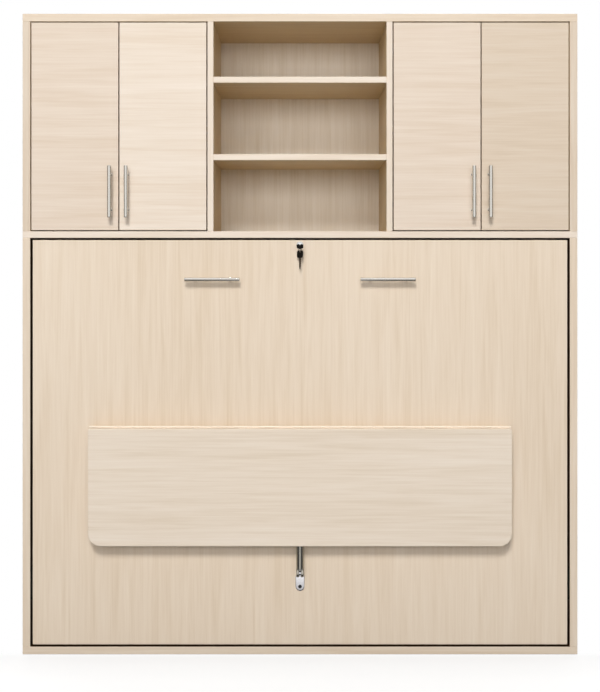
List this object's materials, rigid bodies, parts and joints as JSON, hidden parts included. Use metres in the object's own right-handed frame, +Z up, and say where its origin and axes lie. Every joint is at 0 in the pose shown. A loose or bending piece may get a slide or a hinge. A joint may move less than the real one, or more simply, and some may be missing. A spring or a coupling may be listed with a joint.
{
  "type": "wall bed with fold down desk",
  "caption": "Horizontal wall bed that folds down from a maple laminate carcase, with a drop leaf desk on its face panel and door cupboards and open niches above.",
  "frame": {"origin": "on the floor, under the middle of the whole object with its desk stored", "axes": "+X along the width to the viewer's right, +Y to the wall behind, +Z up; the doors and the desk face -Y"},
  "size_m": [2.02, 0.4622, 2.335],
  "materials": {
    "laminate_board": "satin maple laminate",
    "laminate_back": "matt maple laminate",
    "laminate_front": "satin maple laminate",
    "timber": "planed softwood",
    "satin_steel": "satin nickel",
    "zinc_steel": "bright zinc plate",
    "dark_steel": "satin black enamel",
    "black_plastic": "moulded black",
    "ticking": "woven ticking",
    "webbing": "woven webbing"
  },
  "bodies": {
    "carcase": {"top_board": "laminate_board", "mid_board": "laminate_board", "bottom_board": "laminate_board", "lower_side_left": "laminate_board", "lower_side_right": "laminate_board", "upper_side_left": "laminate_board", "upper_side_right": "laminate_board", "divider_left": "laminate_board", "divider_right": "laminate_board", "niche_shelves": "laminate_board", "cupboard_shelves": "laminate_board", "shelf_supports": "zinc_steel", "upper_back_panel": "laminate_back", "lower_back_panel": "laminate_back", "wall_rails": "laminate_board", "glides": "black_plastic", "pivot_plates": "zinc_steel", "lift_brackets": "zinc_steel", "hinge_plates": "zinc_steel"},
    "bed": {"face_panel": "laminate_front", "bed_side_rails": "timber", "bed_end_rails": "timber", "slat_bearers": "timber", "slats": "timber", "mattress": "ticking", "mattress_straps": "webbing", "bed_pivot_plates": "zinc_steel", "leg_studs": "zinc_steel", "bed_handles": "satin_steel", "lock_body": "satin_steel", "desk_rail": "laminate_front", "desk_hinge_fixed": "zinc_steel", "desk_bumpers": "black_plastic", "strut_bracket": "satin_steel"},
    "desk": {"desk_leaf": "laminate_front", "desk_hinge_moving": "zinc_steel", "strut_ears": "zinc_steel"},
    "strut_tube": {"strut_tube": "dark_steel"},
    "strut_rod": {"strut_rod": "zinc_steel"},
    "door_1": {"door_1": "laminate_front", "door_handle_1": "satin_steel", "hinge_arms_1": "zinc_steel"},
    "door_2": {"door_2": "laminate_front", "door_handle_2": "satin_steel", "hinge_arms_2": "zinc_steel"},
    "door_3": {"door_3": "laminate_front", "door_handle_3": "satin_steel", "hinge_arms_3": "zinc_steel"},
    "door_4": {"door_4": "laminate_front", "door_handle_4": "satin_steel", "hinge_arms_4": "zinc_steel"},
    "leg_left": {"leg_left": "dark_steel"},
    "leg_right": {"leg_right": "dark_steel"},
    "lift_tube_left": {"lift_tube_left": "dark_steel"},
    "lift_tube_right": {"lift_tube_right": "dark_steel"},
    "lift_rod_left": {"lift_rod_left": "zinc_steel"},
    "lift_rod_right": {"lift_rod_right": "zinc_steel"},
    "lock_plug": {"lock_plug": "dark_steel", "lock_key": "black_plastic"},
    "spare_key": {"spare_key": "black_plastic"}
  },
  "joints": [
    {"name": "bed_fold", "type": "hinge", "parent": "carcase", "child": "bed", "pos_m": [0, -0.11887, 0.26], "axis": [1, 0, 0], "range_deg": [0, 90]},
    {"name": "desk_fold", "type": "hinge", "parent": "bed", "child": "desk", "pos_m": [0, -0.20463, 0.8359], "axis": [-1, 0, 0], "range_deg": [0, 90]},
    {"name": "strut_swing", "type": "hinge", "parent": "bed", "child": "strut_tube", "pos_m": [0, -0.18638, 0.303], "axis": [1, 0, 0], "range_deg": [0, 18.11]},
    {"name": "strut_reach", "type": "slide", "parent": "strut_tube", "child": "strut_rod", "axis": [0, 0, 1], "range_m": [0, 0.1586]},
    {"name": "door_1_hinge", "type": "hinge", "parent": "carcase", "child": "door_1", "pos_m": [-0.978, -0.16887, 1.925], "axis": [0, 0, -1], "range_deg": [0, 100]},
    {"name": "door_2_hinge", "type": "hinge", "parent": "carcase", "child": "door_2", "pos_m": [-0.341, -0.16887, 1.925], "axis": [0, 0, 1], "range_deg": [0, 100]},
    {"name": "door_3_hinge", "type": "hinge", "parent": "carcase", "child": "door_3", "pos_m": [0.341, -0.16887, 1.925], "axis": [0, 0, -1], "range_deg": [0, 100]},
    {"name": "door_4_hinge", "type": "hinge", "parent": "carcase", "child": "door_4", "pos_m": [0.978, -0.16887, 1.925], "axis": [0, 0, 1], "range_deg": [0, 100]},
    {"name": "leg_left_swing", "type": "hinge", "parent": "bed", "child": "leg_left", "pos_m": [0, -0.12487, 1.455], "axis": [1, 0, 0], "range_deg": [-90, 0]},
    {"name": "lift_left_swing", "type": "hinge", "parent": "carcase", "child": "lift_tube_left", "pos_m": [0, 0.03112, 0.71], "axis": [1, 0, 0], "range_deg": [0, 14.04]},
    {"name": "lift_left_stroke", "type": "slide", "parent": "lift_tube_left", "child": "lift_rod_left", "axis": [0, 0.2425, 0.9701], "range_m": [0, 0.1685]},
    {"name": "leg_right_swing", "type": "hinge", "parent": "bed", "child": "leg_right", "pos_m": [0, -0.12487, 1.455], "axis": [1, 0, 0], "range_deg": [-90, 0]},
    {"name": "lift_right_swing", "type": "hinge", "parent": "carcase", "child": "lift_tube_right", "pos_m": [0, 0.03112, 0.71], "axis": [1, 0, 0], "range_deg": [0, 14.04]},
    {"name": "lift_right_stroke", "type": "slide", "parent": "lift_tube_right", "child": "lift_rod_right", "axis": [0, 0.2425, 0.9701], "range_m": [0, 0.1685]},
    {"name": "lock_turn", "type": "hinge", "parent": "bed", "child": "lock_plug", "pos_m": [0, -0.16887, 1.493], "axis": [0, -1, 0], "range_deg": [0, 90]},
    {"name": "spare_key_swing", "type": "hinge", "parent": "lock_plug", "child": "spare_key", "pos_m": [0, -0.19087, 1.475], "axis": [0, -1, 0], "range_deg": [-90, 0]}
  ],
  "couplings": [
    {"joint": "strut_swing", "follows": "desk_fold", "ratio": 0.20115},
    {"joint": "strut_reach", "follows": "desk_fold", "m_per_rad": 0.10094},
    {"joint": "leg_left_swing", "follows": "bed_fold", "ratio": -1},
    {"joint": "lift_left_swing", "follows": "bed_fold", "ratio": 0.15596},
    {"joint": "lift_left_stroke", "follows": "bed_fold", "m_per_rad": 0.10725},
    {"joint": "leg_right_swing", "follows": "bed_fold", "ratio": -1},
    {"joint": "lift_right_swing", "follows": "bed_fold", "ratio": 0.15596},
    {"joint": "lift_right_stroke", "follows": "bed_fold", "m_per_rad": 0.10725},
    {"joint": "spare_key_swing", "follows": "lock_turn", "ratio": -1}
  ]
}
